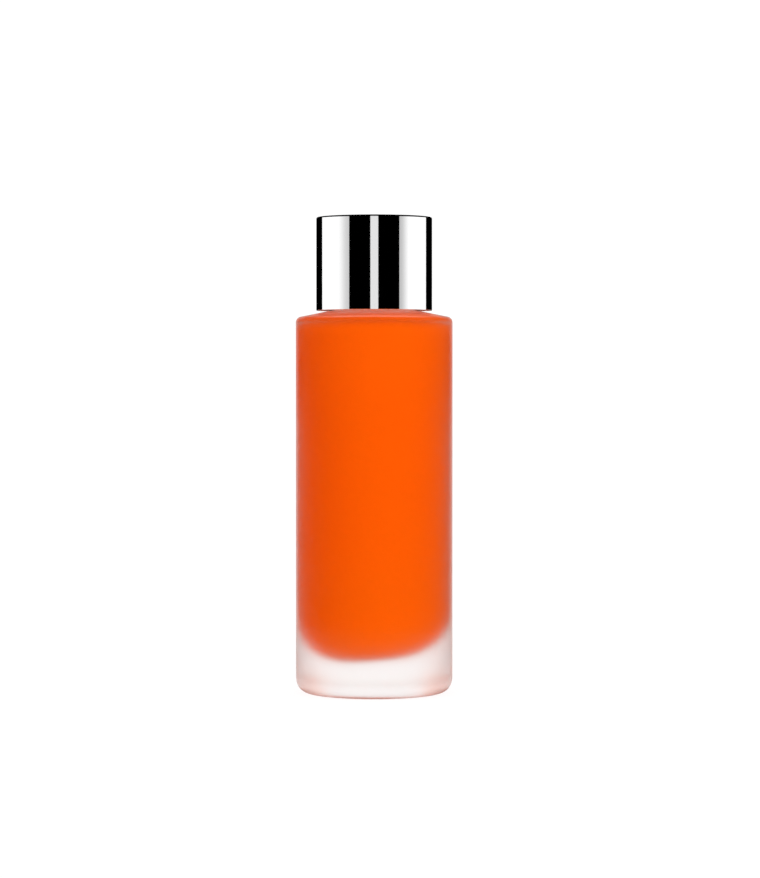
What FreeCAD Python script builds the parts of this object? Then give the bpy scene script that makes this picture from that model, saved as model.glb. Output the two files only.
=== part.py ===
import FreeCAD, Part
import os
import re
import Sketcher
from FreeCAD import Vector

# Screw-cap foundation bottle of 30 ml: a heavy frosted-glass bottle with an 18 mm
# continuous-thread neck, a press-in pour plug and a bright weighted screw cap.
# Millimetres, +Z up, origin at the centre of the ring that the glass stands on.
# Every piece is turned about the Z axis, so a height is a distance above that ring.

SIZES = {
    # glass bottle, outside
    "body_radius": 17.0,
    "shoulder_height": 81.45,
    "neck_foot": 83.3,
    "base_round": 3.2,
    "shoulder_round": 1.3,
    "root_round": 0.8,
    "recess_radius": 10.5,
    "recess_flare": 0.7,
    "recess_depth": 0.8,
    "recess_round": 0.3,
    # glass bottle, neck finish
    "neck_radius": 7.8,
    "neck_top": 96.6,
    "land_round": 0.4,
    "collar_centre": 8.2,
    "collar_height": 86.4,
    "collar_bead": 1.1,
    # screw thread, on the neck and in the cap
    "pitch": 3.175,
    "thread_start": 89.85,
    "thread_root": 0.4,
    "neck_crest_radius": 8.85,
    "neck_crest_half": 0.6,
    "neck_root_half": 1.35,
    "neck_turns": 1.5,
    "cap_crest_radius": 8.3,
    "cap_crest_half": 0.45,
    "cap_root_half": 1.1,
    "cap_turns": 1.75,
    # glass bottle, inside
    "floor_height": 7.6,
    "floor_radius": 10.9,
    "floor_round": 7.5,
    "knee_height": 20.0,
    "knee_radius": 11.2,
    "flare_foot": 54.0,
    "flare_height": 76.0,
    "ceiling_height": 79.8,
    "ceiling_radius": 12.8,
    "ceiling_round": 2.0,
    "bore_radius": 5.0,
    "bore_foot": 82.2,
    "bore_foot_round": 0.6,
    # pour plug
    "flange_radius": 7.2,
    "flange_thickness": 1.0,
    "barrel_radius": 4.8,
    "barrel_wall": 0.8,
    "barrel_depth": 6.0,
    "deck_thickness": 1.0,
    "ring_bead": 0.3,
    "upper_ring_depth": 2.0,
    "lower_ring_depth": 4.2,
    "orifice_radius": 2.2,
    "lip_wall": 0.5,
    "lip_drop": 0.1,
    "dish_depth": 0.6,
    "dish_slope": 0.6,
    "dish_radius": 4.4,
    # base label
    "label_radius": 10.0,
    "label_thickness": 0.1,
    # cap
    "cap_radius": 12.55,
    "cap_foot": 83.0,
    "cap_top": 103.2,
    "shell_wall": 0.6,
    "cap_edge_round": 0.35,
    "cap_foot_round": 0.15,
    "shell_corner_round": 0.2,
    "weight_radius": 11.7,
    "weight_chamfer": 0.3,
    "liner_radius": 8.9,
    "liner_thickness": 1.0,
    "insert_bore": 9.1,
    "insert_core": 10.6,
    "insert_foot": 87.6,
    "insert_deck": 1.3,
    "deck_clearance": 0.05,
    "mouth_chamfer": 0.3,
    "rib_width": 0.8,
    "rib_lift": 0.8,
    "rib_count": 24,
}

SEAL = "neck_top + flange_thickness"
LINER_TOP = f"{SEAL} + liner_thickness"
DECK_TOP = f"{LINER_TOP} + insert_deck"
SHELL_BORE = "cap_radius - shell_wall"
SHELL_CEILING = "cap_top - shell_wall"
SAME_PLACE = 1e-4

doc = FreeCAD.newDocument("foundation_bottle")
sheet = doc.addObject("Spreadsheet::Sheet", "sizes")
for row, (alias, size) in enumerate(SIZES.items(), start=1):
    sheet.set(f"A{row}", alias)
    sheet.set(f"B{row}", str(size))
    sheet.setAlias(f"B{row}", alias)
doc.recompute()


def on_sheet(formula):
    """The formula with each of its words read from the sheet."""
    return re.sub(r"[a-z]\w*", lambda word: "sizes." + word.group(), formula)


def value(formula):
    """The number that a formula comes to."""
    return float(sheet.evalExpression(formula))


def new_body(label):
    body = doc.addObject("PartDesign::Body", label)
    body.Label = label
    return body


def new_sketch(body, name, plane="XZ_Plane"):
    """An empty sketch on one of the body's own origin planes."""
    sketch = body.newObject("Sketcher::SketchObject", name)
    support = [item for item in body.Origin.OriginFeatures if item.Role == plane]
    sketch.AttachmentSupport = [(support[0], "")]
    sketch.MapMode = "FlatFace"
    return sketch


def hold(sketch, name, formula, kind, *places):
    """Adds a dimension whose size follows the formula."""
    index = sketch.addConstraint(Sketcher.Constraint(kind, *places, value(formula)))
    sketch.renameConstraint(index, name)
    sketch.setExpression(f"Constraints.{name}", on_sheet(formula))


def hold_point(sketch, name, geometry, end, radius, height):
    """Places a line's start or a circle's centre by its distances from the sketch's axes."""
    if radius == "0":
        sketch.addConstraint(Sketcher.Constraint("PointOnObject", geometry, end, -2))
    elif value(radius) < 0:
        hold(sketch, f"radius_{name}", f"-({radius})", "DistanceX", geometry, end, -1, 1)
    else:
        hold(sketch, f"radius_{name}", radius, "DistanceX", -1, 1, geometry, end)
    if height == "0":
        sketch.addConstraint(Sketcher.Constraint("PointOnObject", geometry, end, -1))
    else:
        hold(sketch, f"height_{name}", height, "DistanceY", -1, 1, geometry, end)


def outline(body, name, corners, plane="XZ_Plane"):
    """A closed sketch of straight lines whose corners are (radius, height) formulas."""
    sketch = new_sketch(body, name, plane)
    places = [Vector(value(radius), value(height), 0) for radius, height in corners]
    count = len(corners)
    for index in range(count):
        sketch.addGeometry(Part.LineSegment(places[index], places[(index + 1) % count]))
    for index in range(count):
        following = (index + 1) % count
        sketch.addConstraint(Sketcher.Constraint("Coincident", index, 2, following, 1))
    for index, (radius, height) in enumerate(corners):
        hold_point(sketch, str(index), index, 1, radius, height)
    return sketch


def circle(body, name, size, radius="0", height="0", plane="XZ_Plane"):
    """A sketch of one circle, its size and centre given by formulas."""
    sketch = new_sketch(body, name, plane)
    centre = Vector(value(radius), value(height), 0)
    sketch.addGeometry(Part.Circle(centre, Vector(0, 0, 1), value(size)))
    hold(sketch, "size", size, "Radius", 0)
    hold_point(sketch, "centre", 0, 3, radius, height)
    return sketch


def turn(body, sketch, kind="Revolution"):
    """Turns a sketch about the Z axis: a Revolution adds it, a Groove takes it away."""
    before = body.Shape.Volume if body.Tip else 0.0
    feature = body.newObject(f"PartDesign::{kind}", f"{kind.lower()}_{sketch.Name}")
    feature.Profile = sketch
    feature.ReferenceAxis = (sketch, ["V_Axis"])
    feature.Angle = 360
    doc.recompute()
    grown = feature.Shape.Volume - before
    if (grown > 0) != (kind == "Revolution"):
        raise ValueError(f"{feature.Name} changed nothing")
    return feature


def pad(body, sketch, height, start):
    """Pads a sketch on the XY plane upwards from a start height."""
    sketch.setExpression("AttachmentOffset.Base.z", on_sheet(start))
    feature = body.newObject("PartDesign::Pad", f"pad_{sketch.Name}")
    feature.Profile = sketch
    feature.setExpression("Length", on_sheet(height))
    doc.recompute()
    return feature


def ring_edges(shape, places):
    """Names of the circular edges about the Z axis at the given (radius, height) formulas."""
    names = []
    for radius, height in places:
        size, level = value(radius), value(height)
        for number, edge in enumerate(shape.Edges, start=1):
            curve = edge.Curve
            if not isinstance(curve, Part.Circle):
                continue
            if abs(curve.Radius - size) < SAME_PLACE and abs(curve.Center.z - level) < SAME_PLACE:
                names.append(f"Edge{number}")
    if len(names) < len(places):
        raise ValueError(f"an edge to round or chamfer is missing near {places}")
    return names


def round_edges(body, name, size, *places):
    base = body.Tip
    feature = body.newObject("PartDesign::Fillet", name)
    feature.Base = (base, ring_edges(base.Shape, places))
    feature.setExpression("Radius", on_sheet(size))
    doc.recompute()


def chamfer_edges(body, name, size, *places):
    base = body.Tip
    feature = body.newObject("PartDesign::Chamfer", name)
    feature.Base = (base, ring_edges(base.Shape, places))
    feature.setExpression("Size", on_sheet(size))
    doc.recompute()


def screw_thread(body, name, root, crest, root_half, crest_half, turns):
    """A right-hand thread of four-sided section, from its root out or in to its crest."""
    section = outline(body, f"section_{name}", [
        (root, f"thread_start - {root_half}"),
        (crest, f"thread_start - {crest_half}"),
        (crest, f"thread_start + {crest_half}"),
        (root, f"thread_start + {root_half}"),
    ])
    feature = body.newObject("PartDesign::AdditiveHelix", name)
    feature.Profile = section
    feature.ReferenceAxis = (section, ["V_Axis"])
    feature.Mode = "pitch-turns-angle"
    feature.setExpression("Pitch", on_sheet("pitch"))
    feature.setExpression("Turns", on_sheet(turns))
    feature.LeftHanded = False
    doc.recompute()


def make_glass_bottle():
    body = new_body("glass_bottle")
    turn(body, outline(body, "outside", [
        ("0", "recess_depth"),
        ("recess_radius", "recess_depth"),
        ("recess_radius + recess_flare", "0"),
        ("body_radius", "0"),
        ("body_radius", "shoulder_height"),
        ("neck_radius", "neck_foot"),
        ("neck_radius", "neck_top"),
        ("0", "neck_top"),
    ]))
    round_edges(body, "round_base", "base_round", ("body_radius", "0"))
    round_edges(body, "round_recess", "recess_round", ("recess_radius + recess_flare", "0"))
    round_edges(body, "round_shoulder", "shoulder_round", ("body_radius", "shoulder_height"))
    round_edges(body, "round_neck_root", "root_round", ("neck_radius", "neck_foot"))
    round_edges(body, "round_land", "land_round", ("neck_radius", "neck_top"))
    turn(body, outline(body, "cavity", [
        ("0", "floor_height"),
        ("floor_radius", "floor_height"),
        ("knee_radius", "knee_height"),
        ("knee_radius", "flare_foot"),
        ("ceiling_radius", "flare_height"),
        ("ceiling_radius", "ceiling_height"),
        ("bore_radius", "bore_foot"),
        ("bore_radius", "neck_top + land_round"),
        ("0", "neck_top + land_round"),
    ]), "Groove")
    round_edges(body, "round_floor", "floor_round", ("floor_radius", "floor_height"))
    round_edges(body, "round_ceiling", "ceiling_round", ("ceiling_radius", "ceiling_height"))
    round_edges(body, "round_bore_foot", "bore_foot_round", ("bore_radius", "bore_foot"))
    turn(body, circle(body, "collar", "collar_bead", "collar_centre", "collar_height"))
    screw_thread(body, "neck_thread", "neck_radius - thread_root", "neck_crest_radius",
                 "neck_root_half", "neck_crest_half", "neck_turns")
    return body


def make_foundation_fluid():
    """The contents: the cavity of the glass, filled to the foot of its neck."""
    body = new_body("foundation_fluid")
    turn(body, outline(body, "contents", [
        ("0", "floor_height"),
        ("floor_radius", "floor_height"),
        ("knee_radius", "knee_height"),
        ("knee_radius", "flare_foot"),
        ("ceiling_radius", "flare_height"),
        ("ceiling_radius", "ceiling_height"),
        ("bore_radius", "bore_foot"),
        ("0", "bore_foot"),
    ]))
    round_edges(body, "round_fluid_floor", "floor_round", ("floor_radius", "floor_height"))
    round_edges(body, "round_fluid_ceiling", "ceiling_round", ("ceiling_radius", "ceiling_height"))
    return body


def make_pour_plug():
    """Press-in orifice reducer: flange on the neck's land, dished deck, ringed barrel."""
    body = new_body("pour_plug")
    inner_wall = "barrel_radius - barrel_wall"
    lip_top = f"{SEAL} - lip_drop"
    dish_floor = f"{SEAL} - dish_depth"
    deck_foot = f"{SEAL} - dish_depth - deck_thickness"
    turn(body, outline(body, "plug_section", [
        ("orifice_radius", lip_top),
        ("orifice_radius + lip_wall", lip_top),
        ("orifice_radius + lip_wall", dish_floor),
        ("dish_radius - dish_slope", dish_floor),
        ("dish_radius", SEAL),
        ("flange_radius", SEAL),
        ("flange_radius", "neck_top"),
        ("barrel_radius", "neck_top"),
        ("barrel_radius", "neck_top - barrel_depth"),
        (inner_wall, "neck_top - barrel_depth"),
        (inner_wall, deck_foot),
        ("orifice_radius", deck_foot),
    ]))
    for ring in ("upper_ring", "lower_ring"):
        turn(body, circle(body, ring, "ring_bead", "bore_radius - ring_bead", f"neck_top - {ring}_depth"))
    return body


def make_disc(label, radius, thickness, start):
    body = new_body(label)
    pad(body, circle(body, f"{label}_face", radius, plane="XY_Plane"), thickness, start)
    return body


def make_base_label():
    return make_disc("base_label", "label_radius", "label_thickness", "recess_depth - label_thickness")


def make_cap_liner():
    return make_disc("cap_liner", "liner_radius", "liner_thickness", SEAL)


def make_cap_weight():
    """Steel disc clamped between the insert's deck and the ceiling of the shell."""
    body = make_disc("cap_weight", "weight_radius", f"{SHELL_CEILING} - ({DECK_TOP})", DECK_TOP)
    chamfer_edges(body, "weight_edges", "weight_chamfer",
                  ("weight_radius", DECK_TOP), ("weight_radius", SHELL_CEILING))
    return body


def make_cap_shell():
    body = new_body("cap_shell")
    turn(body, outline(body, "shell_section", [
        ("0", "cap_top"),
        ("cap_radius", "cap_top"),
        ("cap_radius", "cap_foot"),
        (SHELL_BORE, "cap_foot"),
        (SHELL_BORE, SHELL_CEILING),
        ("0", SHELL_CEILING),
    ]))
    round_edges(body, "round_cap_edge", "cap_edge_round", ("cap_radius", "cap_top"))
    round_edges(body, "round_cap_foot", "cap_foot_round",
                ("cap_radius", "cap_foot"), (SHELL_BORE, "cap_foot"))
    round_edges(body, "round_shell_corner", "shell_corner_round", (SHELL_BORE, SHELL_CEILING))
    return body


def make_cap_insert():
    """Threaded inner cap, held in the shell by ribs all round its skirt."""
    body = new_body("cap_insert")
    turn(body, outline(body, "insert_section", [
        ("0", LINER_TOP),
        ("insert_bore", LINER_TOP),
        ("insert_bore", "insert_foot"),
        ("insert_core", "insert_foot"),
        ("insert_core", LINER_TOP),
        (f"{SHELL_BORE} - deck_clearance", LINER_TOP),
        (f"{SHELL_BORE} - deck_clearance", DECK_TOP),
        ("0", DECK_TOP),
    ]))
    chamfer_edges(body, "skirt_mouth", "mouth_chamfer", ("insert_bore", "insert_foot"))
    screw_thread(body, "cap_thread", "-insert_bore - thread_root", "-cap_crest_radius",
                 "cap_root_half", "cap_crest_half", "cap_turns")
    rib = pad(body, outline(body, "rib", [
        ("insert_core - rib_width", "-rib_width / 2"),
        (SHELL_BORE, "-rib_width / 2"),
        (SHELL_BORE, "rib_width / 2"),
        ("insert_core - rib_width", "rib_width / 2"),
    ], "XY_Plane"), f"{LINER_TOP} - insert_foot - rib_lift + deck_clearance", "insert_foot + rib_lift")
    ribs = body.newObject("PartDesign::PolarPattern", "ribs")
    ribs.Originals = [rib]
    ribs.Axis = (rib.Profile[0], ["N_Axis"])
    ribs.Angle = 360
    ribs.setExpression("Occurrences", on_sheet("rib_count"))
    body.Tip = ribs
    doc.recompute()
    return body


def check_document():
    for item in doc.Objects:
        if "Invalid" in item.State or "Error" in item.State:
            raise ValueError(f"{item.Name} failed: {item.State}")


def export(body):
    """Writes one sub-part, after a check that it is one sound solid."""
    shape = body.Shape
    if shape.isNull() or not shape.isValid() or len(shape.Solids) != 1:
        raise ValueError(f"{body.Label} is not one valid solid")
    shape.exportStep(os.path.join("parts", f"{body.Label}.step"))
    print(f"{body.Label}: {shape.Volume / 1000:.3f} ml")


pieces = [
    make_glass_bottle(),
    make_foundation_fluid(),
    make_pour_plug(),
    make_base_label(),
    make_cap_shell(),
    make_cap_weight(),
    make_cap_insert(),
    make_cap_liner(),
]
doc.recompute()
check_document()
os.makedirs("parts", exist_ok=True)
for piece in pieces:
    export(piece)
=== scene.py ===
import math
import bmesh
import bpy
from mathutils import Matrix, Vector


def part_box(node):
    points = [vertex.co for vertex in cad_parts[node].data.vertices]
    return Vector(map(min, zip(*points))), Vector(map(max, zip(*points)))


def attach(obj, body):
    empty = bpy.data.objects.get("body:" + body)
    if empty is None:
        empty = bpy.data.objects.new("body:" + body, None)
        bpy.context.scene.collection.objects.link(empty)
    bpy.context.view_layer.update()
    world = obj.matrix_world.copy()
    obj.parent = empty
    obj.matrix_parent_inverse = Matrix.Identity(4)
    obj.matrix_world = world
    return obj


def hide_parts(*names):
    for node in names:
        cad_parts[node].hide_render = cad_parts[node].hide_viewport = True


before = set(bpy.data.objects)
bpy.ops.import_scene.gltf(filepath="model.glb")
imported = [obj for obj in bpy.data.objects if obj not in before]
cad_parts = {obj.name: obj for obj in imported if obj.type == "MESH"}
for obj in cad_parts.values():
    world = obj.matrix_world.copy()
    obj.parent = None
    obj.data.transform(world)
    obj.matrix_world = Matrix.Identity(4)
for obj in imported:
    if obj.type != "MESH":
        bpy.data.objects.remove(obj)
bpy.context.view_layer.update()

# A frosted-glass foundation bottle with a bright screw cap. Lengths are in metres, and every
# round piece is a profile of (radius, height) points turned about the Z axis.

MM = 0.001
TURN = 2 * math.pi

# Places and sizes that the CAD frame gives.
_, glass_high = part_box("glass_bottle")
fluid_low, fluid_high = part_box("foundation_fluid")
plug_low, plug_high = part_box("pour_plug")
shell_low, shell_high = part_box("cap_shell")
insert_low, insert_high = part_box("cap_insert")
liner_low, liner_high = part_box("cap_liner")
_, weight_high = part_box("cap_weight")

BODY_RADIUS = glass_high.x
NECK_TOP = glass_high.z
FLOOR = fluid_low.z
FILL = fluid_high.z
CAP_RADIUS = shell_high.x
CAP_FOOT = shell_low.z
CAP_TOP = shell_high.z
SHELL_BORE = insert_high.x
SHELL_CEILING = weight_high.z
LINER_RADIUS = liner_high.x
SEAL = liner_low.z
LINER_TOP = liner_high.z
INSERT_FOOT = insert_low.z
INSERT_TOP = insert_high.z
FLANGE_RADIUS = plug_high.x
PLUG_FOOT = plug_low.z

# Glass, outside.
SHOULDER = 81.45 * MM
SHOULDER_ROUND = 1.3 * MM
BASE_REACH = 3.75 * MM
BASE_POWER = 2.4
RECESS_RADIUS = 10.5 * MM
RECESS_FLARE = 0.7 * MM
RECESS_DEPTH = 0.8 * MM
STIPPLE_INNER = 11.7 * MM
STIPPLE_OUTER = 13.0 * MM
STIPPLE_HEIGHT = 0.06 * MM
STIPPLE_COUNT = 96
STIPPLE_TWIST = 9
STIPPLE_STEPS = 8

# Glass, neck finish.
NECK_RADIUS = 7.8 * MM
NECK_FOOT = 83.3 * MM
NECK_ROOT_ROUND = 0.8 * MM
COLLAR_CENTRE = 8.2 * MM
COLLAR_HEIGHT = 86.4 * MM
COLLAR_BEAD = 1.1 * MM
COLLAR_STEPS = 22
LAND_ROUND = 0.4 * MM
BORE_RADIUS = 5.0 * MM
BORE_ROUND = 0.25 * MM

# Screw thread.
PITCH = 3.175 * MM
THREAD_START = 89.85 * MM
THREAD_FADE = math.radians(28)
NECK_CREST_RADIUS = 8.85 * MM
NECK_CREST_HALF = 0.6 * MM
NECK_ROOT_HALF = 1.15 * MM
NECK_TURNS = 1.5
CAP_CREST_RADIUS = 8.3 * MM
CAP_CREST_HALF = 0.42 * MM
CAP_ROOT_HALF = 0.85 * MM
CAP_TURNS = 1.75
THREAD_STEP = 0.14 * MM

# Cavity and its contents. The contents stand a hair proud of the cavity wall, so that no
# film of air lies between liquid and glass.
FLOOR_FLAT = 3.2 * MM
FLOOR_POWER = 0.92
KNEE_RADIUS = 11.45 * MM
KNEE_HEIGHT = 16.2 * MM
FLARE_FOOT = 54.0 * MM
FLARE_TOP = 76.0 * MM
CEILING = 79.8 * MM
CEILING_RADIUS = 12.8 * MM
CEILING_ROUND = 3.0 * MM
BORE_FOOT = 82.2 * MM
CAVITY_STEPS = 24
WETTING = 0.05 * MM
FLOOR_TILT = 0.10
FLOOR_TILT_FADE = 26 * MM

# Inner parts.
INSERT_BORE = 9.1 * MM
INSERT_CORE = 10.6 * MM
RIB_COUNT = 24
RIB_HALF_ANGLE = math.radians(1.9)
RIB_FLANK_ANGLE = math.radians(1.0)
RIB_LIFT = 0.8 * MM
BARREL_RADIUS = 4.8 * MM
BARREL_WALL = 0.8 * MM
ORIFICE_RADIUS = 2.2 * MM
DISH_RADIUS = 4.4 * MM
CROWN_RADIUS = CAP_RADIUS - 0.5 * MM
CROWN_EDGE = CROWN_RADIUS - 0.4 * MM

# How finely the round pieces are cut, and how near counts as touching.
GLASS_SEGMENTS = 256
FLUID_SEGMENTS = 192
PLUG_SEGMENTS = 128
SKIRT_SEGMENTS = 384
CROWN_SEGMENTS = 256
INSERT_SEGMENTS = 480
LINER_SEGMENTS = 160
ON_AXIS = 1e-7
ON_WALL = 1e-6
JUST_PAST = 1e-5

# Etching of the glass: (height in millimetres, roughness). A curve has its two ends first.
ETCH_SPAN = 100
ETCH_DEPTHS = ((0, 0.40), (ETCH_SPAN, 0.46), (8, 0.40), (20, 0.272), (79, 0.272), (84, 0.46))
ETCH_PATCHINESS = 0.012
ETCH_PATCH_SIZE = 2.5 * MM

# Looks and framing.
CAMERA_DISTANCE = 0.653
CAMERA_HEIGHT = 68.6 * MM
CAMERA_SIDE = 1.26 * MM
AIM_HEIGHT = 55.14 * MM
VIEW_HEIGHT = 190.6 * MM
SENSOR = 36.0


# ---------------------------------------------------------------- profiles and turned meshes

def smooth(share):
    """0 below 0, 1 above 1, and an S curve between."""
    share = min(1.0, max(0.0, share))
    return share * share * (3 - 2 * share)


def corner_arc(before, corner, after, radius):
    """Points of the round that takes the place of a corner."""
    into = (before - corner).normalized()
    out = (after - corner).normalized()
    opening = into.angle(out)
    if radius <= 0 or opening > math.radians(179.5):
        return [corner]
    reach = radius / math.tan(opening / 2)
    middle = (into + out).normalized() * (radius / math.sin(opening / 2))
    centre = corner + middle
    start = (corner + into * reach - centre).normalized()
    end = (corner + out * reach - centre).normalized()
    steps = max(3, round(math.degrees(math.pi - opening) / 9))
    return [centre + radius * start.slerp(end, step / steps) for step in range(steps + 1)]


def outline(corners, support=0.12 * MM):
    """Profile through (radius, height, round) corners, with a ring near each end of a long run."""
    places = [Vector((radius, height)) for radius, height, _ in corners]
    rough = [places[0]]
    for index in range(1, len(corners) - 1):
        rough += corner_arc(places[index - 1], places[index], places[index + 1], corners[index][2])
    rough.append(places[-1])
    profile = [rough[0]]
    for start, end in zip(rough, rough[1:]):
        run = (end - start).length
        if run > 6 * support:
            along = (end - start) / run
            profile += [start + along * support, end - along * support]
        profile.append(end)
    return profile


def soft_corner(centre, reach, power, steps=16):
    """A quarter turn from straight down to straight out whose curvature starts and ends gently."""
    points = []
    for step in range(steps + 1):
        angle = math.pi / 2 * step / steps
        across = math.sin(angle) ** (2 / power)
        down = max(0.0, math.cos(angle)) ** (2 / power)
        points.append(centre + reach * Vector((across, -down)))
    return points


def ladder(radius, low, high, step):
    """A straight upright run cut into even steps."""
    count = max(1, math.ceil(abs(high - low) / step))
    return [Vector((radius, low + (high - low) * index / count)) for index in range(count + 1)]


def arc(centre, radius, start, end, steps):
    """Points round a centre, between two angles in degrees from the outward direction."""
    turns = [math.radians(start + (end - start) * step / steps) for step in range(steps + 1)]
    return [centre + radius * Vector((math.cos(angle), math.sin(angle))) for angle in turns]


def turned(name, profile, segments, shape=None, closed=False):
    """A mesh turned about Z. shape(radius, height, angle) may move a point in its own plane."""
    mesh = bmesh.new()
    rings = []
    for radius, height in profile:
        if radius < ON_AXIS:
            rings.append([mesh.verts.new((0, 0, height))])
            continue
        ring = []
        for index in range(segments):
            angle = TURN * index / segments
            reach, level = shape(radius, height, angle) if shape else (radius, height)
            ring.append(mesh.verts.new((reach * math.cos(angle), reach * math.sin(angle), level)))
        rings.append(ring)
    pairs = list(zip(rings, rings[1:]))
    if closed:
        pairs.append((rings[-1], rings[0]))
    for lower, upper in pairs:
        for index in range(segments):
            after = (index + 1) % segments
            if len(lower) == 1:
                corners = (lower[0], upper[after], upper[index])
            elif len(upper) == 1:
                corners = (lower[index], lower[after], upper[0])
            else:
                corners = (lower[index], lower[after], upper[after], upper[index])
            mesh.faces.new(corners)
    bmesh.ops.recalc_face_normals(mesh, faces=mesh.faces)
    data = bpy.data.meshes.new(name)
    mesh.to_mesh(data)
    mesh.free()
    data.polygons.foreach_set("use_smooth", [True] * len(data.polygons))
    piece = bpy.data.objects.new(name, data)
    bpy.context.scene.collection.objects.link(piece)
    return piece


def thread_bump(height, angle, start_angle, turns, crest_half, root_half):
    """Height of a right-hand thread, 0 to 1, at a place on the screw's wall."""
    bump = 0.0
    length = TURN * turns
    for lap in range(math.ceil(turns) + 1):
        path = (angle - start_angle) % TURN + TURN * lap
        if path > length:
            break
        centre = THREAD_START + PITCH * path / TURN
        flank = smooth((root_half - abs(height - centre)) / (root_half - crest_half))
        run_out = smooth(path / THREAD_FADE) * smooth((length - path) / THREAD_FADE)
        bump = max(bump, flank * run_out)
    return bump


# ---------------------------------------------------------------- pieces

def cavity_profile(swell=0.0):
    """Inside of the glass from the bore's foot down to the middle of the floor."""
    ceiling = outline([
        (BORE_RADIUS + swell, BORE_FOOT + swell, 0),
        (CEILING_RADIUS + swell, CEILING + swell, CEILING_ROUND),
        (CEILING_RADIUS + swell, FLARE_TOP, 0),
    ])
    flare = []
    for step in range(1, CAVITY_STEPS + 1):
        height = FLARE_TOP + (FLARE_FOOT - FLARE_TOP) * step / CAVITY_STEPS
        opening = (CEILING_RADIUS - KNEE_RADIUS) * smooth(1 - step / CAVITY_STEPS)
        flare.append(Vector((KNEE_RADIUS + opening + swell, height)))
    flare.append(Vector((KNEE_RADIUS + swell, KNEE_HEIGHT)))
    reach = KNEE_RADIUS + swell - FLOOR_FLAT
    rise = KNEE_HEIGHT - FLOOR + swell
    floor = []
    for step in range(1, CAVITY_STEPS + 1):
        angle = math.pi / 2 * step / CAVITY_STEPS
        across = FLOOR_FLAT + reach * math.cos(angle) ** FLOOR_POWER
        floor.append(Vector((across, FLOOR - swell + rise * (1 - math.sin(angle)))))
    return ceiling + flare + floor + [Vector((FLOOR_FLAT / 2, FLOOR - swell)), Vector((0, FLOOR - swell))]


def cavity_lean(radius, height, angle):
    """The cavity's floor leans: pressed glass is thicker on one side of the base."""
    fade = smooth(1 - (height - FLOOR) / FLOOR_TILT_FADE)
    return radius, height + FLOOR_TILT * fade * radius * math.cos(angle)


def bottle_shape(radius, height, angle):
    """Thread on the neck, lean of the cavity's floor, and stipple on the ring it stands on."""
    if height > COLLAR_HEIGHT + COLLAR_BEAD and abs(radius - NECK_RADIUS) < ON_WALL:
        bump = thread_bump(height, angle, 0, NECK_TURNS, NECK_CREST_HALF, NECK_ROOT_HALF)
        return radius + (NECK_CREST_RADIUS - NECK_RADIUS) * bump, height
    if radius < CEILING_RADIUS and FLOOR - MM < height < CEILING:
        return cavity_lean(radius, height, angle)
    if height < STIPPLE_HEIGHT and STIPPLE_INNER < radius < STIPPLE_OUTER:
        wave = math.sin(STIPPLE_COUNT * angle + radius / MM * STIPPLE_TWIST)
        return radius, height + STIPPLE_HEIGHT * (0.5 - 0.5 * wave)
    return radius, height


def make_glass():
    """Heavy glass bottle: frosted outside with neck thread and collar, polished cavity."""
    foot = outline([
        (0, RECESS_DEPTH, 0),
        (RECESS_RADIUS, RECESS_DEPTH, 0.3 * MM),
        (RECESS_RADIUS + RECESS_FLARE, 0, 0.3 * MM),
        (STIPPLE_INNER, 0, 0),
    ])
    ring = [Vector((STIPPLE_INNER + (STIPPLE_OUTER - STIPPLE_INNER) * step / STIPPLE_STEPS, 0))
            for step in range(1, STIPPLE_STEPS)]
    collar_low = COLLAR_HEIGHT - math.sqrt(COLLAR_BEAD ** 2 - (COLLAR_CENTRE - NECK_RADIUS) ** 2)
    base = soft_corner(Vector((BODY_RADIUS - BASE_REACH, BASE_REACH)), BASE_REACH, BASE_POWER)
    side = outline([
        (BODY_RADIUS, BASE_REACH + 0.2 * MM, 0),
        (BODY_RADIUS, SHOULDER, SHOULDER_ROUND),
        (NECK_RADIUS, NECK_FOOT, NECK_ROOT_ROUND),
        (NECK_RADIUS, collar_low - 0.1 * MM, 0),
    ])
    reach = math.degrees(math.acos((NECK_RADIUS - COLLAR_CENTRE) / COLLAR_BEAD))
    collar = arc(Vector((COLLAR_CENTRE, COLLAR_HEIGHT)), COLLAR_BEAD, -reach, reach, COLLAR_STEPS)
    neck = ladder(NECK_RADIUS, collar[-1].y + 0.12 * MM, NECK_TOP - LAND_ROUND - 0.05 * MM, THREAD_STEP)
    land = outline([
        (NECK_RADIUS, NECK_TOP - LAND_ROUND - 0.02 * MM, 0),
        (NECK_RADIUS, NECK_TOP, LAND_ROUND),
        (BORE_RADIUS, NECK_TOP, BORE_ROUND),
        (BORE_RADIUS, BORE_FOOT + 1.2 * MM, 0),
    ])
    inside = cavity_profile()
    outside = foot + ring + [Vector((STIPPLE_OUTER, 0))] + base + side + collar + neck + land
    glass = turned("frosted_bottle", outside + inside, GLASS_SEGMENTS, bottle_shape)
    glass.data.materials.append(frosted_glass())
    glass.data.materials.append(polished_glass())
    for face in glass.data.polygons:
        centre = face.center
        radius = math.hypot(centre.x, centre.y)
        in_bore = radius < BORE_RADIUS + JUST_PAST and centre.z > BORE_FOOT
        at_height = FLOOR - MM < centre.z < BORE_FOOT + JUST_PAST
        in_cavity = radius < CEILING_RADIUS + JUST_PAST and at_height
        face.material_index = int(in_bore or in_cavity)
    return glass


def make_fluid():
    """The liquid, a closed body that wets the whole cavity up to the foot of the neck."""
    top = outline([
        (0, FILL + WETTING, 0),
        (BORE_RADIUS - 0.4 * MM, FILL + WETTING, 0),
        (BORE_RADIUS + WETTING, BORE_FOOT + WETTING, 0),
    ])
    profile = top[:-1] + cavity_profile(WETTING)
    fluid = turned("foundation", profile, FLUID_SEGMENTS, cavity_lean_below_ceiling)
    fluid.data.materials.append(foundation_liquid())
    return fluid


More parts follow.
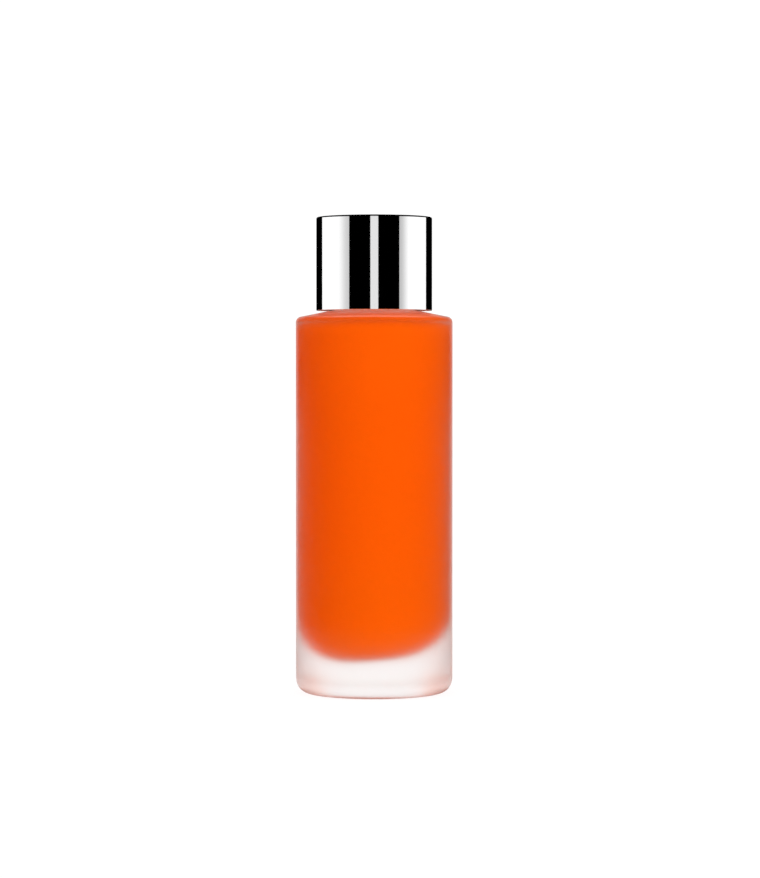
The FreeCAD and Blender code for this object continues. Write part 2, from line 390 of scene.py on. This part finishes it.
def cavity_lean_below_ceiling(radius, height, angle):
    """The liquid follows the cavity's lean, and stays level above its ceiling."""
    if height < CEILING:
        return cavity_lean(radius, height, angle)
    return radius, height


def make_plug():
    """Pour plug: flange on the neck's land, pouring lip in a dish, two sealing rings."""
    rings = []
    for level in (PLUG_FOOT + 1.8 * MM, PLUG_FOOT + 4.0 * MM):
        rings += [
            (BARREL_RADIUS, level - 0.35 * MM, 0.1 * MM),
            (BORE_RADIUS - 0.01 * MM, level, 0.1 * MM),
            (BARREL_RADIUS, level + 0.35 * MM, 0.1 * MM),
        ]
    deck_foot = SEAL - 1.6 * MM
    corners = [
        (ORIFICE_RADIUS, deck_foot + 0.8 * MM, 0),
        (ORIFICE_RADIUS, SEAL - 0.1 * MM, 0.15 * MM),
        (ORIFICE_RADIUS + 0.5 * MM, SEAL - 0.1 * MM, 0.15 * MM),
        (ORIFICE_RADIUS + 0.5 * MM, SEAL - 0.6 * MM, 0.15 * MM),
        (DISH_RADIUS - 0.6 * MM, SEAL - 0.6 * MM, 0.3 * MM),
        (DISH_RADIUS, SEAL, 0.2 * MM),
        (FLANGE_RADIUS, SEAL, 0.25 * MM),
        (FLANGE_RADIUS, NECK_TOP, 0.1 * MM),
        (BARREL_RADIUS, NECK_TOP, 0.05 * MM),
    ]
    corners += reversed(rings)
    corners += [
        (BARREL_RADIUS, PLUG_FOOT, 0.3 * MM),
        (BARREL_RADIUS - BARREL_WALL, PLUG_FOOT, 0.2 * MM),
        (BARREL_RADIUS - BARREL_WALL, deck_foot, 0.3 * MM),
        (ORIFICE_RADIUS, deck_foot, 0.15 * MM),
        (ORIFICE_RADIUS, deck_foot + 0.7 * MM, 0),
    ]
    plug = turned("pour_plug_moulding", outline(corners, 0.06 * MM), PLUG_SEGMENTS, closed=True)
    plug.data.materials.append(natural_polyethylene())
    return plug


def make_cap_skirt():
    """Bright side wall of the cap, with its rolled top edge and open foot."""
    corners = [
        (SHELL_BORE, CAP_FOOT + 2 * MM, 0),
        (SHELL_BORE, CAP_FOOT, 0.1 * MM),
        (CAP_RADIUS, CAP_FOOT, 0.1 * MM),
        (CAP_RADIUS, CAP_TOP, 0.35 * MM),
        (CROWN_EDGE, CAP_TOP, 0.05 * MM),
        (CROWN_EDGE, SHELL_CEILING, 0.05 * MM),
        (SHELL_BORE, SHELL_CEILING, 0.1 * MM),
        (SHELL_BORE, CAP_FOOT + 2.1 * MM, 0),
    ]
    skirt = turned("cap_bright_skirt", outline(corners, 0.04 * MM), SKIRT_SEGMENTS, closed=True)
    skirt.data.materials.append(bright_metal("bright_skirt"))
    return skirt


def make_cap_crown():
    """Bright top of the cap, flush inside the skirt's rolled edge."""
    crown = turned("cap_bright_crown", outline([
        (0, CAP_TOP, 0),
        (CROWN_EDGE, CAP_TOP, 0.06 * MM),
        (CROWN_EDGE, SHELL_CEILING, 0.05 * MM),
        (0, SHELL_CEILING, 0),
    ]), CROWN_SEGMENTS)
    crown.data.materials.append(bright_metal("bright_crown"))
    return crown


def insert_shape(radius, height, angle):
    """Thread inside the skirt, and ribs on its outside that grip the shell."""
    if abs(radius - INSERT_BORE) < ON_WALL and height < LINER_TOP - 0.5 * MM:
        bump = thread_bump(height, angle, math.pi, CAP_TURNS, CAP_CREST_HALF, CAP_ROOT_HALF)
        return radius - (INSERT_BORE - CAP_CREST_RADIUS) * bump, height
    if abs(radius - INSERT_CORE) < ON_WALL and height > INSERT_FOOT + RIB_LIFT:
        spacing = TURN / RIB_COUNT
        off_rib = abs((angle + spacing / 2) % spacing - spacing / 2)
        rib = smooth((RIB_HALF_ANGLE + RIB_FLANK_ANGLE - off_rib) / RIB_FLANK_ANGLE)
        lead_in = smooth((height - INSERT_FOOT - RIB_LIFT) / (0.6 * MM))
        return radius + (SHELL_BORE - INSERT_CORE) * rib * lead_in, height
    return radius, height


def make_insert():
    """Threaded inner cap, moulded in one with its ribs."""
    bore = ladder(INSERT_BORE, LINER_TOP - 0.4 * MM, INSERT_FOOT + 0.4 * MM, THREAD_STEP)
    core = ladder(INSERT_CORE, INSERT_FOOT + 0.3 * MM, LINER_TOP - 0.2 * MM, 0.3 * MM)
    ceiling = outline([
        (0, LINER_TOP, 0),
        (INSERT_BORE, LINER_TOP, 0.2 * MM),
        (INSERT_BORE, LINER_TOP - 0.3 * MM, 0),
    ])
    mouth = outline([
        (INSERT_BORE, INSERT_FOOT + 0.35 * MM, 0),
        (INSERT_BORE + 0.3 * MM, INSERT_FOOT, 0.1 * MM),
        (INSERT_CORE, INSERT_FOOT, 0.15 * MM),
        (INSERT_CORE, INSERT_FOOT + 0.2 * MM, 0),
    ])
    deck_radius = SHELL_BORE - 0.05 * MM
    deck = outline([
        (INSERT_CORE, LINER_TOP, 0),
        (deck_radius, LINER_TOP, 0.15 * MM),
        (deck_radius, INSERT_TOP, 0.15 * MM),
        (0, INSERT_TOP, 0),
    ])
    profile = ceiling + bore + mouth + core + deck
    insert = turned("cap_insert_moulding", profile, INSERT_SEGMENTS, insert_shape)
    insert.data.materials.append(white_polypropylene())
    return insert


def make_liner():
    """Foam sealing disc, pressed into a shallow ring where it meets the plug's flange."""
    dent = 0.05 * MM
    liner = turned("cap_liner_foam", outline([
        (0, SEAL + dent, 0),
        (DISH_RADIUS, SEAL + dent, 0.2 * MM),
        (DISH_RADIUS + 0.2 * MM, SEAL + 2 * dent, 0.2 * MM),
        (FLANGE_RADIUS, SEAL + 2 * dent, 0.2 * MM),
        (FLANGE_RADIUS + 0.2 * MM, SEAL, 0.2 * MM),
        (LINER_RADIUS, SEAL, 0.12 * MM),
        (LINER_RADIUS, LINER_TOP, 0.12 * MM),
        (0, LINER_TOP, 0),
    ], 0.05 * MM), LINER_SEGMENTS)
    liner.data.materials.append(sealing_foam())
    return liner


# ---------------------------------------------------------------- materials

class Surface:
    """A Principled material with short calls for the nodes that give it detail."""

    def __init__(self, name, **sockets):
        self.material = bpy.data.materials.new(name)
        self.material.use_nodes = True
        self.nodes = self.material.node_tree.nodes
        self.links = self.material.node_tree.links
        self.shader = self.nodes["Principled BSDF"]
        self.place = self.nodes.new("ShaderNodeTexCoord").outputs["Object"]
        for socket, amount in sockets.items():
            self.shader.inputs[socket.replace("_", " ")].default_value = amount

    def noise(self, size, detail=3.0, stretch=(1, 1, 1)):
        """Cloudy noise whose lumps are about size metres across."""
        mapping = self.nodes.new("ShaderNodeMapping")
        mapping.inputs["Scale"].default_value = stretch
        self.links.new(self.place, mapping.inputs["Vector"])
        noise = self.nodes.new("ShaderNodeTexNoise")
        noise.inputs["Scale"].default_value = 1 / size
        noise.inputs["Detail"].default_value = detail
        self.links.new(mapping.outputs["Vector"], noise.inputs["Vector"])
        return noise.outputs["Fac"]

    def cells(self, size):
        """Distance to the nearest of many scattered points, for foam and grain."""
        voronoi = self.nodes.new("ShaderNodeTexVoronoi")
        voronoi.inputs["Scale"].default_value = 1 / size
        self.links.new(self.place, voronoi.inputs["Vector"])
        return voronoi.outputs["Distance"]

    def rings(self, size):
        """Concentric rings about the Z axis, as a lathe or a polishing wheel leaves."""
        wave = self.nodes.new("ShaderNodeTexWave")
        wave.wave_type = "RINGS"
        wave.rings_direction = "Z"
        wave.inputs["Scale"].default_value = 1 / size
        wave.inputs["Distortion"].default_value = 1.5
        self.links.new(self.place, wave.inputs["Vector"])
        return wave.outputs["Fac"]

    def etch(self, depths):
        """Roughness from (height in millimetres, roughness) pairs, with cloudy patches."""
        parts = self.nodes.new("ShaderNodeSeparateXYZ")
        self.links.new(self.place, parts.inputs["Vector"])
        ramp = self.nodes.new("ShaderNodeFloatCurve")
        height = self.nodes.new("ShaderNodeMath")
        height.operation = "MULTIPLY"
        height.inputs[1].default_value = 1 / (ETCH_SPAN * MM)
        self.links.new(parts.outputs["Z"], height.inputs[0])
        curve = ramp.mapping.curves[0]
        for index, (level, depth) in enumerate(depths):
            if index < 2:
                curve.points[index].location = (level / ETCH_SPAN, depth)
            else:
                curve.points.new(level / ETCH_SPAN, depth)
        for point in curve.points:
            point.handle_type = "AUTO_CLAMPED"
        ramp.mapping.update()
        self.links.new(height.outputs["Value"], ramp.inputs["Value"])
        patches = self.nodes.new("ShaderNodeMath")
        patches.operation = "MULTIPLY_ADD"
        patches.inputs[1].default_value = ETCH_PATCHINESS
        self.links.new(self.noise(ETCH_PATCH_SIZE, 4), patches.inputs[0])
        self.links.new(ramp.outputs["Value"], patches.inputs[2])
        return patches.outputs["Value"]

    def vary(self, socket, source, low, high):
        """Lets a socket swing between two amounts with a source."""
        spread = self.nodes.new("ShaderNodeMapRange")
        spread.inputs["From Min"].default_value = 0.3
        spread.inputs["From Max"].default_value = 0.7
        spread.inputs["To Min"].default_value = low
        spread.inputs["To Max"].default_value = high
        self.links.new(source, spread.inputs["Value"])
        self.links.new(spread.outputs["Result"], self.shader.inputs[socket])

    def tint(self, source, first, second):
        """Lets the base colour drift between two colours with a source."""
        blend = self.nodes.new("ShaderNodeMix")
        blend.data_type = "RGBA"
        blend.inputs["A"].default_value = (*first, 1)
        blend.inputs["B"].default_value = (*second, 1)
        self.links.new(source, blend.inputs["Factor"])
        self.links.new(blend.outputs["Result"], self.shader.inputs["Base Color"])

    def bump(self, source, depth, strength=1.0):
        """Raises the surface by depth metres where the source is bright."""
        bump = self.nodes.new("ShaderNodeBump")
        bump.inputs["Distance"].default_value = depth
        bump.inputs["Strength"].default_value = strength
        self.links.new(source, bump.inputs["Height"])
        self.links.new(bump.outputs["Normal"], self.shader.inputs["Normal"])


def frosted_glass():
    """Acid-etched glass: a soft even haze whose grain is far finer than a millimetre."""
    look = Surface("frosted_glass", Transmission_Weight=1.0, IOR=1.5, Roughness=0.3)
    look.links.new(look.etch(ETCH_DEPTHS), look.shader.inputs["Roughness"])
    look.tint(look.noise(9 * MM, 2), (0.985, 0.965, 0.96), (0.98, 0.955, 0.95))
    return look.material


def polished_glass():
    """The inside, as the furnace leaves it: bright, with the faintest ripple."""
    look = Surface("polished_glass", Transmission_Weight=1.0, IOR=1.5, Roughness=0.02)
    look.tint(look.noise(9 * MM, 2), (0.97, 0.955, 0.95), (0.965, 0.95, 0.945))
    look.bump(look.noise(6 * MM, 1), 0.01 * MM, 0.1)
    return look.material


def foundation_liquid():
    """Opaque pigmented liquid with a trace of streaking, and an orange sheen that warms its sides."""
    look = Surface("foundation_liquid", Roughness=0.45, Specular_IOR_Level=0.0, Sheen_Weight=0.25,
                   Sheen_Roughness=0.4, Sheen_Tint=(1.0, 0.6, 0.25, 1))
    streaks = look.noise(14 * MM, 3, (1, 1, 0.45))
    look.tint(streaks, (0.95, 0.108, 0.0006), (0.95, 0.118, 0.001))
    look.vary("Roughness", look.noise(5 * MM, 2), 0.4, 0.5)
    return look.material


def bright_metal(name):
    """Mirror metallising with faint wiping marks round the cap."""
    look = Surface(name, Metallic=1.0, Roughness=0.03)
    wiping = look.noise(1.2 * MM, 3, (0.15, 0.15, 3))
    look.vary("Roughness", wiping, 0.025, 0.045)
    look.tint(look.noise(4 * MM, 2), (0.955, 0.955, 0.96), (0.965, 0.965, 0.965))
    return look.material


def natural_polyethylene():
    """Milky natural polyethylene."""
    look = Surface("natural_polyethylene", Roughness=0.4, Subsurface_Weight=0.3, Subsurface_Scale=0.001)
    look.tint(look.noise(3 * MM, 2), (0.80, 0.80, 0.77), (0.86, 0.86, 0.84))
    look.vary("Roughness", look.noise(0.8 * MM, 3), 0.34, 0.48)
    look.bump(look.noise(0.25 * MM, 2), 0.004 * MM, 0.4)
    return look.material


def white_polypropylene():
    """Moulded white polypropylene with a fine spark-eroded grain."""
    look = Surface("white_polypropylene", Roughness=0.4)
    look.tint(look.noise(4 * MM, 2), (0.82, 0.82, 0.82), (0.87, 0.87, 0.865))
    look.vary("Roughness", look.noise(0.6 * MM, 3), 0.34, 0.5)
    look.bump(look.noise(0.15 * MM, 2), 0.004 * MM, 0.5)
    return look.material


def sealing_foam():
    """Closed-cell foam: a dull skin pitted with small cells, with painted shade darkening each pit."""
    look = Surface("sealing_foam", Roughness=0.85)
    cell_pits_and_shade = look.cells(0.22 * MM)
    # Painted shade: the colour is darker down in each pit, by the same cells that dent the bump.
    look.tint(cell_pits_and_shade, (0.78, 0.78, 0.76), (0.9, 0.9, 0.89))
    look.vary("Roughness", look.noise(1 * MM, 2), 0.8, 0.95)
    look.bump(cell_pits_and_shade, 0.03 * MM, 0.6)
    return look.material


def tumbled_steel():
    """Zinc-plated steel disc with lathe rings and tumbling haze."""
    look = Surface("tumbled_steel", Metallic=1.0, Roughness=0.3)
    look.tint(look.noise(2 * MM, 3), (0.56, 0.56, 0.57), (0.68, 0.68, 0.69))
    look.vary("Roughness", look.noise(0.7 * MM, 3), 0.26, 0.42)
    look.bump(look.rings(0.5 * MM), 0.004 * MM, 0.5)
    return look.material


def label_film():
    """Plain white label film with a slight orange-peel gloss."""
    look = Surface("label_film", Roughness=0.35)
    look.tint(look.noise(5 * MM, 2), (0.86, 0.86, 0.85), (0.9, 0.9, 0.89))
    look.vary("Roughness", look.noise(0.5 * MM, 2), 0.3, 0.4)
    look.bump(look.noise(0.4 * MM, 2), 0.003 * MM, 0.3)
    return look.material


def wear(piece, material):
    """Gives a CAD node that stays its finished material."""
    piece.data.materials.clear()
    piece.data.materials.append(material)


# ---------------------------------------------------------------- studio

# Most cards and lights reach one piece only. Each was set for how that piece should look, so
# together they aren't a set-up that a real studio could have. Lengths are in metres.

FLOOR_HALF_WIDTH = 2.0
FLOOR_FRONT = -1.2
SWEEP_START = 0.5
SWEEP_RADIUS = 0.25
SWEEP_TOP = 1.6
SWEEP_STEPS = 12
CARD_DISTANCE = 0.45
CARD_FOOT = -0.1
CARD_STEPS = 40
LOW_CARD_TOP = 0.17
TALL_CARD_TOP = 0.5
STAGE_SEGMENTS = 48
FLOOR_CARD_RADIUS = 0.045
FLOOR_CARD_HEIGHT = 0.3 * MM
DOME_RADIUS = 0.5
DOME_FOOT = 0.1
DOME_RISE = 0.45
DOME_RIM_GLOW = 0.25
WORLD_STRENGTH = 1.05


def make_floor():
    """Pale floor that curves up into the backdrop."""
    mesh = bmesh.new()
    section = [(FLOOR_FRONT, 0.0)]
    for step in range(SWEEP_STEPS + 1):
        angle = math.pi / 2 * step / SWEEP_STEPS
        depth = SWEEP_START + SWEEP_RADIUS * math.sin(angle)
        section.append((depth, SWEEP_RADIUS * (1 - math.cos(angle))))
    section.append((SWEEP_START + SWEEP_RADIUS, SWEEP_TOP))
    edges = [[mesh.verts.new((side, depth, height)) for depth, height in section]
             for side in (-FLOOR_HALF_WIDTH, FLOOR_HALF_WIDTH)]
    for index in range(len(section) - 1):
        mesh.faces.new((edges[0][index], edges[1][index], edges[1][index + 1], edges[0][index + 1]))
    data = bpy.data.meshes.new("studio_floor")
    mesh.to_mesh(data)
    mesh.free()
    data.polygons.foreach_set("use_smooth", [True] * len(data.polygons))
    floor = bpy.data.objects.new("studio_floor", data)
    bpy.context.scene.collection.objects.link(floor)
    look = Surface("pale_floor", Roughness=0.9, Specular_IOR_Level=0.0, Emission_Strength=0.88,
                   Emission_Color=(1, 1, 1, 1))
    look.tint(look.noise(0.2, 2), (0.15, 0.15, 0.15), (0.17, 0.17, 0.17))
    look.material.cycles.emission_sampling = "NONE"
    data.materials.append(look.material)
    floor.visible_glossy = False
    return floor


def linked(name, *pieces):
    """A collection that a light's linking refers to."""
    group = bpy.data.collections.new(name)
    for piece in pieces:
        group.objects.link(piece)
    return group


def make_card(name, start, end, top, strength, receivers, edge=1.0, ramp=1.0,
              colour=(1, 1, 1), sampling="AUTO"):
    """Upright glowing card on a circle round the bottle, seen only in the receivers' polish.

    Angles are in degrees from the front. Its glow at the start is edge times strength, and
    comes to strength over a share ramp of its width."""
    mesh = bmesh.new()
    columns = []
    for step in range(CARD_STEPS + 1):
        angle = math.radians(start + (end - start) * step / CARD_STEPS)
        place = CARD_DISTANCE * math.sin(angle), -CARD_DISTANCE * math.cos(angle)
        columns.append([mesh.verts.new((*place, CARD_FOOT)), mesh.verts.new((*place, top))])
    for left, right in zip(columns, columns[1:]):
        mesh.faces.new((left[0], right[0], right[1], left[1]))
    data = bpy.data.meshes.new(name)
    mesh.to_mesh(data)
    mesh.free()
    glow = data.attributes.new("glow", "FLOAT", "POINT")
    for index in range(len(data.vertices)):
        share = (index // 2) / CARD_STEPS
        glow.data[index].value = strength * (edge + (1 - edge) * smooth(share / ramp))
    return glowing(name, data, receivers, colour=colour, sampling=sampling)


def make_floor_card(receivers):
    """Glowing ring flat on the floor round the bottle, seen only in the polish of its foot."""
    inner = Vector((BODY_RADIUS + 0.2 * MM, FLOOR_CARD_HEIGHT))
    outer = Vector((FLOOR_CARD_RADIUS, FLOOR_CARD_HEIGHT))
    ring = turned("card_floor", [inner, outer], STAGE_SEGMENTS)
    glow = ring.data.attributes.new("glow", "FLOAT", "POINT")
    for point in glow.data:
        point.value = 1.0
    return glowing("card_floor", ring.data, receivers, ring, sampling="NONE")


def make_ceiling(receivers):
    """Glowing dome over the cap that fades towards its rim, seen only in the crown."""
    profile = [Vector((0, DOME_FOOT + DOME_RISE))]
    for degrees in range(8, 81, 8):
        angle = math.radians(degrees)
        profile.append(Vector((DOME_RADIUS * math.sin(angle), DOME_FOOT + DOME_RISE * math.cos(angle))))
    dome = turned("card_ceiling", profile, STAGE_SEGMENTS)
    glow = dome.data.attributes.new("glow", "FLOAT", "POINT")
    for index, vertex in enumerate(dome.data.vertices):
        share = smooth((vertex.co.z - 0.15) / 0.3)
        glow.data[index].value = DOME_RIM_GLOW + (1 - DOME_RIM_GLOW) * share
    return glowing("card_ceiling", dome.data, receivers, dome)


def glowing(name, data, receivers, card=None, colour=(1, 1, 1), sampling="AUTO"):
    """Finishes a card: its glow attribute lights it, and only the receivers reflect it.

    A card with no receivers is seen only through glass."""
    if card is None:
        card = bpy.data.objects.new(name, data)
        bpy.context.scene.collection.objects.link(card)
    material = bpy.data.materials.new(name)
    material.use_nodes = True
    tree = material.node_tree
    tree.nodes.clear()
    glow = tree.nodes.new("ShaderNodeAttribute")
    glow.attribute_name = "glow"
    shader = tree.nodes.new("ShaderNodeEmission")
    output = tree.nodes.new("ShaderNodeOutputMaterial")
    shader.inputs["Color"].default_value = (*colour, 1)
    tree.links.new(glow.outputs["Fac"], shader.inputs["Strength"])
    tree.links.new(shader.outputs["Emission"], output.inputs["Surface"])
    material.cycles.emission_sampling = sampling
    data.materials.append(material)
    card.visible_camera = False
    card.visible_shadow = False
    card.visible_diffuse = False
    card.visible_transmission = receivers is None
    card.visible_glossy = receivers is not None
    card.light_linking.receiver_collection = receivers
    return card


def make_light(name, place, target, size, power, receivers, blockers, colour=(1, 1, 1)):
    """Soft rectangular light that no polished surface reflects.

    It lights the receivers only, and only the blockers cast shadows in it."""
    data = bpy.data.lights.new(name, "AREA")
    data.shape = "RECTANGLE"
    data.size, data.size_y = size
    data.energy = power
    data.color = colour
    light = bpy.data.objects.new(name, data)
    bpy.context.scene.collection.objects.link(light)
    light.location = place
    light.rotation_euler = (Vector(target) - Vector(place)).to_track_quat("-Z", "Y").to_euler()
    light.visible_glossy = False
    light.visible_camera = False
    light.light_linking.receiver_collection = receivers
    light.light_linking.blocker_collection = blockers


def make_world():
    """Even white surroundings that light everything softly but don't show in the polish."""
    world = bpy.data.worlds.new("studio_surroundings")
    world.use_nodes = True
    background = world.node_tree.nodes["Background"]
    background.inputs["Color"].default_value = (1, 1, 1, 1)
    background.inputs["Strength"].default_value = WORLD_STRENGTH
    world.cycles_visibility.glossy = False
    bpy.context.scene.world = world


def make_camera():
    """Long lens a little below the cap's height, just right of the bottle's axis."""
    data = bpy.data.cameras.new("studio_camera")
    data.sensor_width = SENSOR
    data.lens = SENSOR * CAMERA_DISTANCE / VIEW_HEIGHT
    camera = bpy.data.objects.new("studio_camera", data)
    bpy.context.scene.collection.objects.link(camera)
    camera.location = (CAMERA_SIDE, -CAMERA_DISTANCE, CAMERA_HEIGHT)
    drop = math.atan((CAMERA_HEIGHT - AIM_HEIGHT) / CAMERA_DISTANCE)
    camera.rotation_euler = (math.pi / 2 - drop, 0, 0)
    bpy.context.scene.camera = camera


def set_light_paths():
    """Enough bounces for light to pass through the thick glass, and plain colour handling."""
    scene = bpy.context.scene
    scene.view_settings.view_transform = "Standard"
    scene.cycles.max_bounces = 24
    scene.cycles.transmission_bounces = 16
    scene.cycles.transparent_max_bounces = 16
    scene.cycles.diffuse_bounces = 6
    scene.cycles.glossy_bounces = 6


# ---------------------------------------------------------------- assembly

glass = make_glass()
fluid = make_fluid()
plug = make_plug()
skirt = make_cap_skirt()
crown = make_cap_crown()
insert = make_insert()
liner = make_liner()

PIECES = (
    # piece, body, CAD node it stands for, material slot
    (glass, "bottle", "glass_bottle", "frosted_glass"),
    (fluid, "bottle", "foundation_fluid", "foundation"),
    (plug, "bottle", "pour_plug", "plug_plastic"),
    (skirt, "cap", "cap_shell", "bright_metal"),
    (crown, "cap", "cap_shell", "bright_metal"),
    (insert, "cap", "cap_insert", "insert_plastic"),
    (liner, "liner", "cap_liner", "liner_foam"),
)
for piece, body, node, slot in PIECES:
    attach(piece, body)
    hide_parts(node)
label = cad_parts["base_label"]
wear(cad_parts["cap_weight"], tumbled_steel())
wear(label, label_film())

floor = make_floor()
skirt_only = linked("light_for_skirt", skirt)
crown_only = linked("light_for_crown", crown)
fluid_only = linked("light_for_fluid", fluid)
floor_only = linked("light_for_floor", floor)
glass_only = linked("light_for_glass", glass)

# Cards that the cap's side reflects as its bright bands.
make_card("card_front", start=-7.2, end=7.9, top=LOW_CARD_TOP, strength=0.8, receivers=skirt_only)
make_card("card_right", start=50.6, end=124.3, top=LOW_CARD_TOP, strength=1.1, receivers=skirt_only,
          edge=0.5, ramp=0.35)
make_card("card_left", start=-50.0, end=-124.9, top=LOW_CARD_TOP, strength=1.1, receivers=skirt_only,
          edge=0.57, ramp=0.4)

# Cards that give the thick glass its pinkish rims: the first as a reflection, the others through it.
make_card("card_behind", start=150, end=210, top=TALL_CARD_TOP, strength=0.86, receivers=glass_only,
          colour=(1.0, 0.72, 0.66), sampling="NONE")
make_card("card_side_right", start=152, end=98, top=TALL_CARD_TOP, strength=0.83, receivers=None,
          edge=1.4, ramp=0.5, colour=(1.0, 0.68, 0.60), sampling="NONE")
make_card("card_side_left", start=-152, end=-98, top=TALL_CARD_TOP, strength=0.82, receivers=None,
          edge=1.4, ramp=0.5, colour=(1.0, 0.61, 0.52), sampling="NONE")
make_floor_card(glass_only)
make_ceiling(crown_only)

# Lights on the liquid, which the glass around it doesn't block.
make_light("key_on_liquid", place=(0.3, -0.65, 0.12), target=(0, 0, 0.05), size=(0.5, 0.5),
           power=3.0, receivers=fluid_only, blockers=floor_only)
make_light("fill_on_liquid", place=(-0.6, 0.1, 0.06), target=(0, 0, 0.03), size=(0.4, 0.2),
           power=0.65, receivers=fluid_only, blockers=floor_only, colour=(1.0, 0.3, 0.3))
make_light("under_liquid", place=(0.0, -0.12, -0.5), target=(0, 0, 0.01), size=(0.3, 0.3),
           power=0.2, receivers=fluid_only, blockers=linked("blocks_under_light", skirt))
make_light("overhead", place=(0.0, -0.05, 0.7), target=(0, 0, 0.08), size=(0.4, 0.4),
           power=0.4, receivers=fluid_only, blockers=floor_only)

# Haze in the glass of the shoulder, and light for the label under the base.
make_light("shoulder_haze", place=(0.0, 0.25, 0.6), target=(0, 0, 0.082), size=(0.6, 0.3),
           power=1.5, receivers=glass_only, blockers=linked("blocks_haze_light", fluid, floor),
           colour=(0.8, 1.0, 0.97))
make_light("label_light", place=(0.0, -0.05, 0.7), target=(0, 0, 0), size=(0.4, 0.4),
           power=1.8, receivers=linked("light_for_label", label), blockers=floor_only)
make_world()
make_camera()
set_light_paths()
